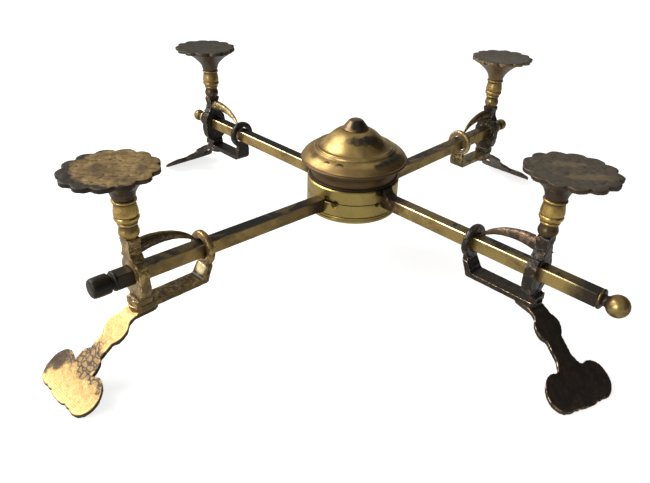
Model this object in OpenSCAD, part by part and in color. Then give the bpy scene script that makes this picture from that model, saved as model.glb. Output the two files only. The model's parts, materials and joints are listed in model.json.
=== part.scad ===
// Brass dish cross: a spirit lamp at the hub of four arms, with a sliding
// dish bracket on each arm. +Z is up, the origin is on the table under the lamp.

/* [Arms] */
// Height of the arms' axis above the table
arm_z = 44.5; // [42:0.5:48]
// Side of the square arm bars
bar_side = 6.8; // [6.6:0.1:7.2]
// Slope at which the lower cross's bars rise from the hub
lower_rise = 1.6; // [1:0.1:2]
// Radius at which the square bars end
bar_end_r = 144.5; // [144:0.5:150]
// Worn chamfer along the bars' edges
bar_chamfer = 0.35; // [0.1:0.05:0.6]
// Radius of the near right ball
near_ball_r = 5.1; // [4:0.1:5.5]
// Radius of the far balls
far_ball_r = 3.9; // [3.5:0.1:4.5]

/* [Hub] */
// Outer radius of the two collars
collar_r = 25.5; // [24.5:0.1:25.7]
// Wall of the collars
collar_wall = 3.5; // [3:0.1:4]
// Top of the upper collar above the arms' axis
collar_top = 7.2; // [7:0.1:7.5]
// Bottom of the lower collar below the arms' axis
collar_bottom = 7.85; // [7.6:0.05:8]
// Radial running clearance between the lamp and the collars
run_fit = 0.05; // [0.03:0.01:0.1]
// Gap between each bar and the collar that it only passes
pass_gap = 0.3; // [0.25:0.05:0.5]
// Wall of the lamp's reservoir
bowl_wall = 1.15; // [1:0.05:1.4]
// Outer radius of the lid's rim
lid_r = 29.5; // [28.5:0.1:30]

/* [Brackets] */
// Radius of the posts of three brackets
post_r = 135; // [120:1:139]
// Radius of the near right bracket's post
near_right_post_r = 116; // [90:0.5:139]
// Sliding gap on each side of a bar in its bracket
slide_gap = 0.15; // [0.1:0.05:0.3]
// Height of the dish rests above the arms' axis
rest_height = 50.5; // [50:0.1:51]
// Number of lobes round a dish rest
rest_lobes = 13; // [10:1:16]
// Half length of a dish rest along its arm
rest_a = 20.2; // [19.5:0.1:21]
// Half width of a dish rest across its arm
rest_b = 19.4; // [19:0.1:20.5]
// Distance of a dish rest's middle outboard of its post
rest_offset = 4; // [3:0.5:5]
// Distance from a near post to the inner face of its guide ring
near_ring_reach = 36.5; // [34:0.5:37]
// Distance from a far post to the inner face of its guide ring
far_ring_reach = 34; // [32:0.5:35]
// Sideways swing of the near right foot, set when it was riveted
near_right_foot_turn = -17; // [-20:1:10]
// Sideways swing of the near left foot
near_left_foot_turn = 2; // [-10:1:10]
// Thickness of the foot plates
foot_t = 2.2; // [2:0.1:2.4]

/* [Hidden] */
$fn = 64;
CORNERS = ["near_left", "far_right", "near_right", "far_left"];
PIECES = ["dish_rest", "post", "stirrup", "horn", "strap", "guide_ring", "foot", "foot_rivet"];
HUB = ["lamp_bowl", "lamp_base_plate", "retaining_ring", "burner_plate", "wick_tube", "wick",
       "lid", "lid_seat_ring", "lid_knob", "lid_knob_nut", "lower_collar", "upper_collar"];

bore_r = collar_r - collar_wall;
bowl_r = bore_r - run_fit;
half = bar_side / 2;
hole_half = half + slide_gap;
part_z = -0.3;              // parting line between the collars
part_gap = 0.05;            // half of the gap along it
flange_z = -11.3;           // underside of the lamp
shoulder_z = 7.3;           // step on the bowl that the retaining ring sits on
mouth_z = 15.2;             // top of the bowl and of its retaining ring
mouth_wall_r = bowl_r - 0.45;
plate_t = 1;                // thickness of the burner plate
lid_seat_z = mouth_z + plate_t;
knob_z = 33.5;              // seat of the knob on the lid
strap_top = -15;
strap_t = 3;
strap_w = 9.5;
strap_under = strap_top - strap_t;
strap_lean = 2.5;           // how far a near strap's leg leans inboard
ring_t = 3.8;
ring_r = 8.6;
ring_stem_z = -9.5;
ring_stem_h = 3.6;
ring_stem_w = 8.6;
rivet_r = 1.55;
rivet_hole_r = 1.6;
stirrup_in = -3.2;          // inboard face of the stirrup, measured from its post
stirrup_t = 5.6;
stirrup_r = 8;
finial_x = 152.5;           // middle of the finial balls
neck_r = 2.5;               // neck behind a finial ball
tenon_r = 1.6;
socket_r = 1.7;
socket_depth = 8;
shoulder_top = 18.5;        // top of the stirrup's shoulder block, where the post stands
rest_under = 36.2;          // underside of a dish rest's trumpet
rest_t = 2.2;

BRASS = [0.72, 0.6, 0.3];
DULL = [0.5, 0.45, 0.3];
DARK = [0.3, 0.25, 0.18];

function azimuth(c) = c == "near_left" ? 225 : c == "far_right" ? 45 : c == "near_right" ? 315 : 135;
function rise(c) = is_lower(c) ? lower_rise : 0;
function post_radius(c) = c == "near_right" ? near_right_post_r : post_r;
function reach(c) = is_near(c) ? near_ring_reach : far_ring_reach;
function is_lower(c) = c == "near_left" || c == "far_right";
function is_near(c) = c == "near_left" || c == "near_right";
function arc(x, y, r, from, to, n = 6) =
    [for (i = [0:n]) let (a = from + (to - from) * i / n) [x + r * cos(a), y + r * sin(a)]];
// A smooth run through the points (Catmull-Rom)
function spline_at(a, b, c, d, t) =
    0.5 * (2 * b + (c - a) * t + (2 * a - 5 * b + 4 * c - d) * t * t + (3 * b - 3 * c + d - a) * t * t * t);
function smooth(p, n = 3) = let (last = len(p) - 1)
    [for (i = [0:last - 1]) each [for (j = [0:n - 1])
        spline_at(p[max(i - 1, 0)], p[i], p[i + 1], p[min(i + 2, last)], j / n)], p[last]];
function bezier(p, t) = let (s = 1 - t)
    s * s * s * p[0] + 3 * s * s * t * p[1] + 3 * s * t * t * p[2] + t * t * t * p[3];

module at_hub() translate([0, 0, arm_z]) children();
module along_arm(c, r = 0) rotate([0, 0, azimuth(c)]) translate([r, 0, arm_z]) children();
// The frame of a bar: its axis is at the arms' height where its post stands
module on_bar(c)
    along_arm(c, post_radius(c)) rotate([0, -rise(c), 0]) translate([-post_radius(c), 0, 0]) children();
module tube(r_out, r_in, z0, z1) rotate_extrude() translate([r_in, z0]) square([r_out - r_in, z1 - z0]);
// An outline in (distance along the arm, height), given a width across the arm
module across(width) rotate([90, 0, 0]) translate([0, 0, -width / 2]) linear_extrude(width) children();

// ---- lamp ----
module lamp_bowl() color(BRASS) at_hub() rotate_extrude() polygon(concat(
    [[22.03, flange_z + 1.4], [22.03, flange_z], [24.6, flange_z]],
    arc(24.7, flange_z + 0.9, 0.9, -90, 0, 4),
    [[25.6, -9.6], [25.2, -9.3]],
    arc(24.9, -8.5, 0.45, -20, 90, 4),
    [[bowl_r, -8.05], [bowl_r, shoulder_z], [mouth_wall_r, shoulder_z],
     [mouth_wall_r, mouth_z], [bowl_r - bowl_wall, mouth_z], [bowl_r - bowl_wall, flange_z + 1.4]]));

module lamp_base_plate() color(DARK) at_hub() translate([0, 0, flange_z]) cylinder(r = 22, h = 1.4);

module retaining_ring() color(DULL) at_hub() rotate_extrude() polygon(concat(
    [[mouth_wall_r + 0.03, shoulder_z], [24.2, shoulder_z]],
    arc(24.2, shoulder_z + 0.6, 0.6, -90, 90, 6),
    smooth([[23.7, 8.7], [23.5, 10.4], [23.9, 12.2], [25, 13.8], [26.3, 14.4]]),
    [[26.6, 14.7], [26.6, mouth_z], [mouth_wall_r + 0.03, mouth_z]]));

module burner_plate() color(BRASS) at_hub() difference() {
    union() {
        translate([0, 0, mouth_z]) cylinder(r = 24.6, h = plate_t);
        tube(bowl_r - bowl_wall - 0.35, bowl_r - bowl_wall - 1.6, mouth_z - 3.5, mouth_z);
        translate([0, 0, mouth_z - 2]) cylinder(r = 6, h = 2);
    }
    translate([0, 0, mouth_z - 3]) cylinder(r = 3.25, h = 5);
    for (a = [0:120:359]) rotate([0, 0, a]) translate([12, 0, mouth_z - 1]) cylinder(r = 0.8, h = 3);
}

module wick_tube() color(BRASS) at_hub() {
    tube(3.2, 2.6, 4, 24);
    tube(5, 3.2, lid_seat_z, lid_seat_z + 0.9);
}

module wick() color("ivory") at_hub() {
    translate([0, 0, -7]) cylinder(r = 2.5, h = 31.6);
    translate([0, 0, 24.6]) cylinder(r1 = 2.5, r2 = 1.9, h = 1);
}

// ---- lid ----
lid_dome = [[7.4, knob_z], [8.6, 33.05], [11.2, 31.9], [14.7, 28.7], [16.9, 26], [19, 24.4], [20.7, 23.9]];
lid_bulge = [[22.3, 22.7], [24.6, 22], [26.9, 20.6], [28.5, 18.9], [29, 18]];
module lid() color(BRASS) at_hub() rotate_extrude() polygon(concat(
    [[1.55, knob_z]], smooth(lid_dome), arc(21.2, 23.5, 0.7, 90, -10, 4),
    smooth([for (p = lid_bulge) [p[0] * lid_r / 29.3, p[1]]]),
    arc(lid_r - 0.75, 17.1, 0.75, 40, -90, 6),
    [[lid_r - 2.1, 16.35], [lid_r - 2.1, 17.6], [lid_r - 3.2, 19.1], [23.4, 20.6], [21, 20.6], [20, 22.6],
     [18.4, 23.1], [15.6, 24.8], [13.1, 27.6], [10.1, 30.5], [8, 31.9], [6.5, 32.2], [1.55, 32.2]]));

module lid_seat_ring() color(DULL) at_hub() tube(23, 21.4, lid_seat_z, 20.6);

module lid_knob() color(DARK) at_hub() {
    rotate_extrude() polygon(concat(
        [[0, knob_z], [7.1, knob_z]], arc(6.95, knob_z + 0.4, 0.35, -60, 60, 4),
        smooth([[6.8, knob_z + 0.75], [5.6, knob_z + 2], [4.4, knob_z + 3.4], [3.5, knob_z + 4.6]]),
        [[2.8, knob_z + 5.1], [1.5, knob_z + 5.38], [0, knob_z + 5.4]]));
    translate([0, 0, knob_z - 3.6]) cylinder(r = 1.5, h = 3.6);
}

module lid_knob_nut() color(BRASS) at_hub() translate([0, 0, knob_z - 3.2]) difference() {
    cylinder(r = 3.2, h = 1.9, $fn = 6);
    translate([0, 0, -1]) cylinder(r = 1.55, h = 4);
}

// ---- collars and bars ----
module lower_collar() color(BRASS) at_hub() difference() {
    rotate_extrude() polygon([[bore_r, -collar_bottom], [collar_r - 0.3, -collar_bottom],
        [collar_r, -collar_bottom + 0.3], [collar_r, part_z - 0.3], [collar_r - 0.25, part_z - part_gap],
        [bore_r, part_z - part_gap]]);
    // worn hollow in the edge beside each of its own bars
    for (a = [22, 202]) rotate([0, 0, 225 + a]) translate([collar_r, 0, -1.4])
        rotate([0, -90, 0]) cylinder(r = 1.9, h = 1.1);
}

module upper_collar() color(BRASS) at_hub() difference() {
    rotate_extrude() polygon([[bore_r, part_z + part_gap], [collar_r - 0.25, part_z + part_gap],
        [collar_r, part_z + 0.3], [collar_r, collar_top - 0.55], [collar_r - 0.55, collar_top],
        [bore_r, collar_top]]);
    // relief notch beside each of the other cross's bars
    for (a = [233, 53]) rotate([0, 0, a]) rotate_extrude(angle = 19)
        translate([collar_r - 1.6, part_z - 1]) square([3, 3.4]);
}

// The square section, with its worn edges
module bar_section() polygon([for (q = [[1, 1], [-1, 1], [-1, -1], [1, -1]])
    each (q[0] * q[1] > 0
        ? [[q[0] * half, q[1] * (half - bar_chamfer)], [q[0] * (half - bar_chamfer), q[1] * half]]
        : [[q[0] * (half - bar_chamfer), q[1] * half], [q[0] * half, q[1] * (half - bar_chamfer)]])]);

// The bar is brazed to its own collar and passes the other one with a gap
module bar(c) {
    down = is_lower(c);
    root = down
        ? [[20, 0], [20, -4.3], [28, -3.9], [31, -half], [31, 0]]
        : concat([[20, 0], [20, 7.2], [25.9, 7.2]], smooth([[26.3, 6.6], [27.4, 4.6], [30.4, 3.3]]),
                 [[30.4, 0]]);
    color(down ? BRASS : DULL) difference() {
        on_bar(c) union() {
            translate([20, 0, 0]) rotate([90, 0, 90]) linear_extrude(bar_end_r - 20) bar_section();
            across(bar_side - 0.6) polygon(root);
        }
        at_hub() {
            translate([0, 0, -20]) cylinder(r = collar_r, h = 40);
            translate([0, 0, down ? part_z - part_gap : part_z + part_gap - 20])
                cylinder(r = collar_r + pass_gap, h = 20);
        }
        on_bar(c) translate([bar_end_r - socket_depth, 0, 0]) rotate([0, 90, 0])
            cylinder(r = socket_r, h = socket_depth + 1);
    }
}

// Turned end that is screwed into the bar
module turned_end(points) {
    translate([bar_end_r - socket_depth + 1, 0, 0]) rotate([0, 90, 0])
        cylinder(r = tenon_r, h = socket_depth);
    rotate([0, 90, 0]) rotate_extrude() polygon(points);
}
module end_button() color(DARK) turned_end(concat(
    [[0, bar_end_r], [4.1, bar_end_r]], arc(3.9, bar_end_r + 0.8, 0.8, -60, 60, 4),
    [[3.4, bar_end_r + 2], [3.4, bar_end_r + 2.6], [4.5, bar_end_r + 3.1], [4.6, bar_end_r + 3.5],
     [4.6, bar_end_r + 9.5]], arc(3.1, bar_end_r + 9.5, 1.5, 0, 60, 4), [[0, bar_end_r + 11.4]]));
module end_ball(r, bead) {
    from = -acos(neck_r / r);
    color(BRASS) turned_end(concat(
        [[0, bar_end_r], [bead - 0.9, bar_end_r]], arc(bead - 1, bar_end_r + 1, 1, -80, 80, 6),
        [[neck_r, bar_end_r + 2.3]], arc(0, finial_x, r, from, 90, 14)));
}
module finial(c) on_bar(c) {
    if (c == "near_left") end_button();
    else if (c == "near_right") end_ball(near_ball_r, 4.8);
    else end_ball(far_ball_r, 4.3);
}

// ---- bracket: its own frame has x outboard of the post, z above the arms' axis ----
module lobed_outline() union() {
    for (i = [0:rest_lobes - 1]) let (a = 360 * i / rest_lobes)
        translate([(rest_a - 4.6) * cos(a), (rest_b - 4.6) * sin(a)]) circle(r = 4.6);
    circle(r = rest_b - 3);
}
dish_depth = 0.6;
dish_r = 17;
module dish_rest() {
    ball = (dish_r * dish_r + dish_depth * dish_depth) / (2 * dish_depth);
    color(DULL) difference() {
        union() {
            translate([rest_offset, 0, rest_height - rest_t]) linear_extrude(rest_t) lobed_outline();
            rotate_extrude() polygon(concat([[0, rest_under]],
                smooth([[4.9, rest_under], [5.1, 37.6], [6.4, 40.6], [9.6, 44], [13.4, 46.9], [16, 48.2]]),
                [[16, 48.6], [0, 48.6]]));
        }
        translate([rest_offset, 0, rest_height + ball - dish_depth]) sphere(r = ball, $fn = 200);
        translate([0, 0, rest_under - 1]) cylinder(r = 2.55, h = 7);
    }
}

module post() color(BRASS) {
    rotate_extrude() polygon(concat([[0, shoulder_top], [3.5, shoulder_top]],
        smooth([[3.75, 18.7], [4.5, 20.2], [4.4, 21.7], [3.9, 23.1], [3.8, 24.2]]),
        arc(4, 25, 0.5, -70, 70, 4),
        smooth([[4.2, 25.65], [4.9, 26.4], [5.4, 27.6], [4.95, 28.7]]),
        smooth([[5.25, 29.1], [5.3, 30], [5, 32], [4.65, 34.3]]),
        arc(4.7, 35.4, 0.65, -60, 60, 4), [[4.6, 36.1], [4.4, rest_under], [2.5, rest_under],
        [2.5, rest_under + 5.5], [0, rest_under + 5.5]]));
}

module stirrup(c) color(DULL) difference() {
    union() {
        translate([stirrup_in, 0, 0]) rotate([90, 0, 90]) linear_extrude(stirrup_t) union() {
            translate([0, 1.5]) circle(r = stirrup_r);
            translate([0, -5.5]) circle(r = stirrup_r);
            translate([-stirrup_r, -5.5]) square([2 * stirrup_r, 7]);
        }
        translate([stirrup_in, 0, 0]) rotate([90, 0, 90]) linear_extrude(-2 * stirrup_in) polygon([
            [-3.6, shoulder_top], [3.6, shoulder_top], [4, shoulder_top - 1.5], [3.3, 13.5], [3.9, 10.5],
            [6, 8], [-6, 8], [-3.9, 10.5], [-3.3, 13.5], [-4, shoulder_top - 1.5]]);
        translate([-4.4, -4.6, strap_top]) cube([8.8, 9.2, 3]);
    }
    rotate([0, -rise(c), 0]) translate([-4, -hole_half, -hole_half]) cube([8, 2 * hole_half, 2 * hole_half]);
    translate([0, 0, strap_top - 1]) cylinder(r = rivet_hole_r, h = 5.5);
}

// Curved spur from the post down to the bar beside the guide ring
function horn_path(c) =
    [[stirrup_in, 0, 12.3], [-11, 0, 14], [-24, 0, 12.4], [ring_t + 1.4 - reach(c), 0, 4.3]];
horn_sides = 16;
horn_rings = 18;
function horn_way(p, t) = t == 0 ? [-1, 0, 0]
    : let (u = bezier(p, min(t + 0.01, 1)) - bezier(p, t - 0.01)) u / norm(u);
function horn_ring(p, t) = let (
    middle = bezier(p, t),
    u = horn_way(p, t),
    high = 3.3 * pow(1 - t, 0.7) + 0.4,
    wide = 2.6 * pow(1 - t, 0.75) + 0.4)
    [for (k = [0:horn_sides - 1]) let (a = 360 * k / horn_sides)
        middle + high * sin(a) * [-u[2], 0, u[0]] + [0, wide * cos(a), 0]];
module horn(c) {
    path = horn_path(c);
    last = horn_rings * horn_sides;
    color(DARK) polyhedron([for (i = [0:horn_rings]) each horn_ring(path, i / horn_rings)], concat(
        [[for (k = [0:horn_sides - 1]) k]],
        [[for (k = [1:horn_sides]) last + horn_sides - k]],
        [for (i = [0:horn_rings - 1], k = [0:horn_sides - 1]) let (
            a = i * horn_sides + k,
            b = i * horn_sides + (k + 1) % horn_sides)
            each [[a, a + horn_sides, b], [b, a + horn_sides, b + horn_sides]]]), convexity = 4);
}

module strap(c) {
    inner = -reach(c);
    foot = is_near(c) ? inner + strap_lean : inner;
    corner = is_near(c)
        ? [[foot + 1.5, strap_under], [foot + 0.3, strap_under + 0.8], [foot, strap_under + 2.2]]
        : arc(inner + 4.5, strap_under + 4.5, 4.5, 270, 180, 8);
    color(is_near(c) ? BRASS : DULL) difference() {
        intersection() {
            across(strap_w) polygon(concat(corner,
                [[inner, ring_stem_z], [inner + strap_t, ring_stem_z], [foot + strap_t, strap_top + 1.6]],
                arc(foot + strap_t + 1.6, strap_top + 1.6, 1.6, 180, 270, 4),
                [[6, strap_top], [6, strap_under]]));
            translate([0, 0, strap_under - 1]) union() {
                cylinder(r = 5.2, h = 20);
                translate([-50, -10, 0]) cube([50, 20, 20]);
            }
        }
        translate([0, 0, strap_under - 1]) cylinder(r = rivet_hole_r, h = strap_t + 2);
    }
}

// The ring is tipped with its bar, and its stem stands on the strap
ring_bore = half * sqrt(2) + 0.3;
module guide_ring(c) color(DULL) translate([-reach(c), 0, -reach(c) * tan(rise(c))]) {
    rotate([0, 90 - rise(c), 0]) rotate_extrude() polygon(concat(
        [[ring_bore, 0.5], [ring_bore + 0.5, 0]],
        arc(ring_r - 1.5, 1.5, 1.5, -90, 0, 4), arc(ring_r - 1.5, ring_t - 1.5, 1.5, 0, 90, 4),
        [[ring_bore + 0.5, ring_t], [ring_bore, ring_t - 0.5]]));
    difference() {
        translate([0, -ring_stem_w / 2, ring_stem_z + reach(c) * tan(rise(c))])
            cube([strap_t, ring_stem_w, ring_stem_h]);
        translate([-1, 0, 0]) rotate([0, 90, 0]) cylinder(r = 6.6, h = strap_t + 2);
    }
}

// The foot's side profile: a flat lap, a bend, a straight slope and a flatter toe
lap_end = 4;
bend_r = 8;
slope = 35;
toe_r = 40;
toe_slope = 20;
foot_top = strap_under;
bend_drop = bend_r * (1 - cos(slope));
toe_drop = toe_r * (cos(toe_slope) - cos(slope));
sole_cut = 0.7;             // depth that the toe is rubbed flat
floor_drop = arm_z + foot_top - foot_t * cos(toe_slope) + sole_cut;
straight = (floor_drop - bend_drop - toe_drop) / sin(slope);
slope_x = lap_end + bend_r * sin(slope);
toe_x = slope_x + straight * cos(slope);
foot_end = toe_x + toe_r * (sin(slope) - sin(toe_slope));
function foot_line(off) = concat(
    [[-8, foot_top - off]],
    [for (i = [0:6]) let (a = slope * i / 6)
        [lap_end + (bend_r - off) * sin(a), foot_top - bend_r + (bend_r - off) * cos(a)]],
    [for (i = [0:6]) let (a = slope + (toe_slope - slope) * i / 6, x0 = toe_x + toe_r * sin(slope),
        z0 = foot_top - bend_drop - straight * sin(slope) + toe_r * cos(slope))
        [x0 - (toe_r + off) * sin(a), z0 - (toe_r + off) * cos(a)]]);

module foot_outline(ear) {
    ears = foot_end - 8.5;
    translate([-3.5, 0]) circle(r = 4.7);
    translate([-3.5, -4.7]) square([ears, 9.4]);
    for (side = [-1, 1]) {
        translate([13, side * 2]) circle(r = 5.2);
        translate([ears - 8, side * (ear - 9.6)]) circle(r = 5);
        translate([ears, side * ear]) circle(r = 7.5);
    }
    translate([ears - 1, 0]) circle(r = 9.5);
    for (k = [-3:3]) let (y = k * ear / 3.1) translate([foot_end - 2.9 - y * y / 90, y]) circle(r = 2.5);
}

// The near right foot is narrower than the others
function ear_y(c) = c == "near_right" ? 10.4 : 12.2;
function foot_turn(c) = c == "near_right" ? near_right_foot_turn : c == "near_left" ? near_left_foot_turn : 0;
function backwards(list) = [for (i = [len(list) - 1:-1:0]) list[i]];

module foot(c) color(c == "near_left" ? BRASS : DARK) rotate([0, 0, foot_turn(c)]) difference() {
    intersection() {
        across(60) polygon(concat(foot_line(0), backwards(foot_line(foot_t))));
        translate([0, 0, -arm_z - 4]) linear_extrude(arm_z) foot_outline(ear_y(c));
    }
    translate([0, -40, -arm_z - 10]) cube([80, 80, 10]);
    translate([0, 0, strap_under - foot_t - 1]) cylinder(r = rivet_hole_r, h = foot_t + 2);
}

module foot_rivet() color(DULL) {
    translate([0, 0, strap_under - foot_t]) cylinder(r = rivet_r, h = strap_t + foot_t + 4);
    translate([0, 0, strap_under - foot_t - 1.3]) rotate_extrude()
        polygon([[0, 0], [1.4, 0.1], [2.5, 0.6], [3, 1.3], [0, 1.3]]);
}

module hub_piece(name) {
    if (name == "lamp_bowl") lamp_bowl();
    if (name == "lamp_base_plate") lamp_base_plate();
    if (name == "retaining_ring") retaining_ring();
    if (name == "burner_plate") burner_plate();
    if (name == "wick_tube") wick_tube();
    if (name == "wick") wick();
    if (name == "lid") lid();
    if (name == "lid_seat_ring") lid_seat_ring();
    if (name == "lid_knob") lid_knob();
    if (name == "lid_knob_nut") lid_knob_nut();
    if (name == "lower_collar") lower_collar();
    if (name == "upper_collar") upper_collar();
}

module bracket_piece(c, name) along_arm(c, post_radius(c)) {
    if (name == "dish_rest") dish_rest();
    if (name == "post") post();
    if (name == "stirrup") stirrup(c);
    if (name == "horn") horn(c);
    if (name == "strap") strap(c);
    if (name == "guide_ring") guide_ring(c);
    if (name == "foot") foot(c);
    if (name == "foot_rivet") foot_rivet();
}

for (n = HUB) hub_piece(n);
for (c = CORNERS) {
    bar(c);
    finial(c);
    for (p = PIECES) bracket_piece(c, p);
}
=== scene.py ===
# %% [markdown]
# # A brass dish cross
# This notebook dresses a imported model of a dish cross: a table stand with a lidded spirit lamp at its hub
# and four arms, each with a sliding bracket that carries a scalloped rest and stands on a shell foot.
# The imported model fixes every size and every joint. What is left for Blender is the work of years of use:
# soft cast edges, turned profiles without facets, and brass that is gold where hands rub it and brown
# or black where they don't.

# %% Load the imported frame
import json
import math

import bpy
import numpy as np
from mathutils import Matrix, Vector

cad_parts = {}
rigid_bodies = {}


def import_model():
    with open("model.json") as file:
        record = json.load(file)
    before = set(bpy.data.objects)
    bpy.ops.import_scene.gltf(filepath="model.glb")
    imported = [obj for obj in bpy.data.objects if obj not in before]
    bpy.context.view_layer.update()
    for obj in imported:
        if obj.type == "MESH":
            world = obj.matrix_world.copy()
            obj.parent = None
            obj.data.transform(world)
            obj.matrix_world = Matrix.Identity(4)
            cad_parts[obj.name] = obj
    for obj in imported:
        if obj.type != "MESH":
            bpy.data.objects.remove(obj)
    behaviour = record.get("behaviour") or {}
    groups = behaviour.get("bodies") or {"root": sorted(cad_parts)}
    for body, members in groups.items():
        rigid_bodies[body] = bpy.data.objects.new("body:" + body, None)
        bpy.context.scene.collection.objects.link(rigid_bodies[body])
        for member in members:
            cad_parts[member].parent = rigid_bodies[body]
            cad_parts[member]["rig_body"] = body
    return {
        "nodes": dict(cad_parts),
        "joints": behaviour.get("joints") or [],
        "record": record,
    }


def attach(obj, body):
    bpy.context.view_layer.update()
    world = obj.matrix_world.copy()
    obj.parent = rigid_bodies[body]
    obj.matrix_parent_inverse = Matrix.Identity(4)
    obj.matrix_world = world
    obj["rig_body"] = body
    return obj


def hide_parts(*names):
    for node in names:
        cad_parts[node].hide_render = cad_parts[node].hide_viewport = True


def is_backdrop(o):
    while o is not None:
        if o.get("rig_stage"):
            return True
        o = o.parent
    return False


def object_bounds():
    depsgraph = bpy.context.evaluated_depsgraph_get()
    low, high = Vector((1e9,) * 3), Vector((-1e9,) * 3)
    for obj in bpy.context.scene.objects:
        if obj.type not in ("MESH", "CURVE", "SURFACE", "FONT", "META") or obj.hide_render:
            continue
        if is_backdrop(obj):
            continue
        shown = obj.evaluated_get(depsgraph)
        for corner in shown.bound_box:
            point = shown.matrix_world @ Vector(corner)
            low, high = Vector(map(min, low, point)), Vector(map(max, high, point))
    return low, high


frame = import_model()
CAD_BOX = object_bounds()
MM = 0.001
AXIS = {"near_left": 225, "far_right": 45, "near_right": 315, "far_left": 135}
HUB = Vector(next(j["pos_m"] for j in frame["joints"] if j["name"] == "arms_swing"))
SEAT_OUT = 22.5 * MM
POST_R = {c: (Vector(m["pos_m"]).xy.length - SEAT_OUT) for c in AXIS
          for m in frame["record"]["mounts"] if m["name"] == c + "_dish_seat"}
print("arms' height", HUB.z, "posts at", POST_R)


def polar(degrees, radius=1.0, height=0.0):
    """The point at a bearing and a radius from the hub's axis, and at a height."""
    a = math.radians(degrees)
    return Vector((radius * math.cos(a), radius * math.sin(a), height))


def post_base(corner):
    """Where a post's axis crosses its bar's axis."""
    return polar(AXIS[corner], POST_R[corner], HUB.z)


# %% [markdown]
# ## The camera
# A small object fills a frame best from close by, and that shows as strong perspective: the near feet look
# half as large again as the far ones. So the camera stands about a third of a metre from the hub with a
# fairly wide lens, looks down at a little over thirty degrees, and leans by not quite two degrees.

# %% Camera
CAMERA_YAW = math.radians(-0.22)
CAMERA_DOWN = math.radians(30.74)
CAMERA_LEAN = math.radians(1.88)
camera = bpy.data.cameras.new("camera")
camera.lens = 33.91
camera.clip_start = 0.01
eye = bpy.data.objects.new("camera", camera)
bpy.context.scene.collection.objects.link(eye)
eye.location = (-0.01327, -0.31405, 0.19347)
turn = Matrix.Rotation(-CAMERA_YAW, 4, "Z") @ Matrix.Rotation(math.pi / 2 - CAMERA_DOWN, 4, "X")
eye.rotation_euler = (turn @ Matrix.Rotation(CAMERA_LEAN, 4, "Z")).to_euler()
bpy.context.scene.camera = eye
bpy.context.scene.view_settings.view_transform = "Standard"
print("camera", camera.lens, "mm at", tuple(eye.location))

# %% [markdown]
# ## The studio
# Polished metal has hardly any look of its own: it shows the room. A catalogue shot of brass is made with
# soft boxes at the left and a dark right-hand side, so that each form runs from a bright edge to a brown one,
# with a dark band between them like the gap between two windows. The world here is white to the eye of the
# camera, and that shaded room to everything else.

# %% Floor
bpy.ops.object.select_all(action="DESELECT")
bpy.ops.mesh.primitive_plane_add(size=8, location=(0, 0, CAD_BOX[0].z - 0.0002))
floor = bpy.context.object
floor.name = "floor"
floor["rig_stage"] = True
paper = bpy.data.materials.new("white_paper")
paper.use_nodes = True
paper_shader = paper.node_tree.nodes["Principled BSDF"]
paper_shader.inputs["Base Color"].default_value = (0.5, 0.5, 0.5, 1)
paper_shader.inputs["Roughness"].default_value = 0.9
paper_shader.inputs["Emission Color"].default_value = (1, 1, 1, 1)
glow = paper.node_tree.nodes.new("ShaderNodeMapRange")
glow.inputs["To Min"].default_value = 0.12
glow.inputs["To Max"].default_value = 0.8
ray = paper.node_tree.nodes.new("ShaderNodeLightPath")
paper.node_tree.links.new(ray.outputs["Is Camera Ray"], glow.inputs["Value"])
paper.node_tree.links.new(glow.outputs["Result"], paper_shader.inputs["Emission Strength"])
floor.data.materials.append(paper)

# %% Soft boxes
def soft_box(name, place, target, size, watts, colour=(1, 1, 1)):
    """A square area light at place, facing target."""
    bpy.ops.object.light_add(type="AREA", location=place)
    lamp = bpy.context.object
    lamp.name = name
    lamp.data.size = size
    lamp.data.energy = watts
    lamp.data.color = colour
    lamp.rotation_euler = (Vector(target) - Vector(place)).to_track_quat("-Z", "Y").to_euler()
    return lamp


soft_box("key_box", (-0.75, 0.12, 0.75), HUB, 0.6, 8, (1, 0.97, 0.92))
soft_box("front_box", (-0.75, -0.75, 0.45), HUB, 0.5, 4, (1, 0.98, 0.95))

# %% Room
world = bpy.data.worlds.new("room")
bpy.context.scene.world = world
world.use_nodes = True
tree = world.node_tree
tree.nodes.clear()
seen = tree.nodes.new("ShaderNodeBackground")
seen.inputs["Color"].default_value = (1, 1, 1, 1)
seen.inputs["Strength"].default_value = 1.05
mirrored = tree.nodes.new("ShaderNodeBackground")
coords = tree.nodes.new("ShaderNodeTexCoord")
split = tree.nodes.new("ShaderNodeSeparateXYZ")
ramp = tree.nodes.new("ShaderNodeValToRGB")
ramp.color_ramp.elements[0].position = 0.24
ramp.color_ramp.elements[0].color = (0.78, 0.76, 0.72, 1)
ramp.color_ramp.elements[1].position = 0.82
ramp.color_ramp.elements[1].color = (0.05, 0.05, 0.05, 1)
for position, grey in ((0.35, 0.16), (0.43, 0.16), (0.53, 0.5), (0.63, 0.4)):
    ramp.color_ramp.elements.new(position).color = (grey, grey, grey * 0.95, 1)
side = tree.nodes.new("ShaderNodeMapRange")
side.inputs["From Min"].default_value = -1
side.inputs["From Max"].default_value = 1
path = tree.nodes.new("ShaderNodeLightPath")
mix = tree.nodes.new("ShaderNodeMixShader")
out = tree.nodes.new("ShaderNodeOutputWorld")
tree.links.new(coords.outputs["Generated"], split.inputs["Vector"])
tree.links.new(split.outputs["X"], side.inputs["Value"])
tree.links.new(side.outputs["Result"], ramp.inputs["Fac"])
tree.links.new(ramp.outputs["Color"], mirrored.inputs["Color"])
tree.links.new(path.outputs["Is Camera Ray"], mix.inputs["Fac"])
tree.links.new(mirrored.outputs["Background"], mix.inputs[1])
tree.links.new(seen.outputs["Background"], mix.inputs[2])
tree.links.new(mix.outputs["Shader"], out.inputs["Surface"])

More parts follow.
